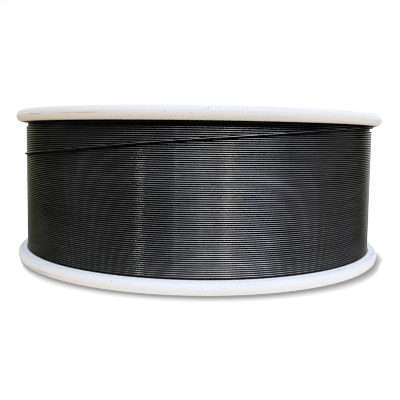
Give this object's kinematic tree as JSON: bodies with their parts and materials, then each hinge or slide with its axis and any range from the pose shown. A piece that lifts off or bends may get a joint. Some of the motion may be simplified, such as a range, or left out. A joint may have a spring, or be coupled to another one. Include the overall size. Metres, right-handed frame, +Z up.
{
  "type": "spool of flux-cored welding wire",
  "caption": "White moulded plastic spool with rounded flange rims and a hub bore, full of level-wound dark flux-cored welding wire whose last run crosses the winding.",
  "frame": {"origin": "centre of the lower flange's end plane, on the spool's axis, where the spool rests on the floor", "axes": "+Z up along the spool's axis; +X through the drive-pin holes; -Y towards the side where the wire's tail crosses the winding"},
  "size_m": [0.27, 0.27, 0.105],
  "materials": {
    "spool_plastic": "moulded white plastic, semi-matt, lightly scuffed and dusty at the rims",
    "wire": "dark drawn steel wire with a thin film of drawing lubricant, glossy along each turn"
  },
  "bodies": {
    "root": {"lower_spool_half": "spool_plastic", "upper_spool_half": "spool_plastic", "wire_winding": "wire", "wire_tail": "wire"}
  },
  "joints": []
}
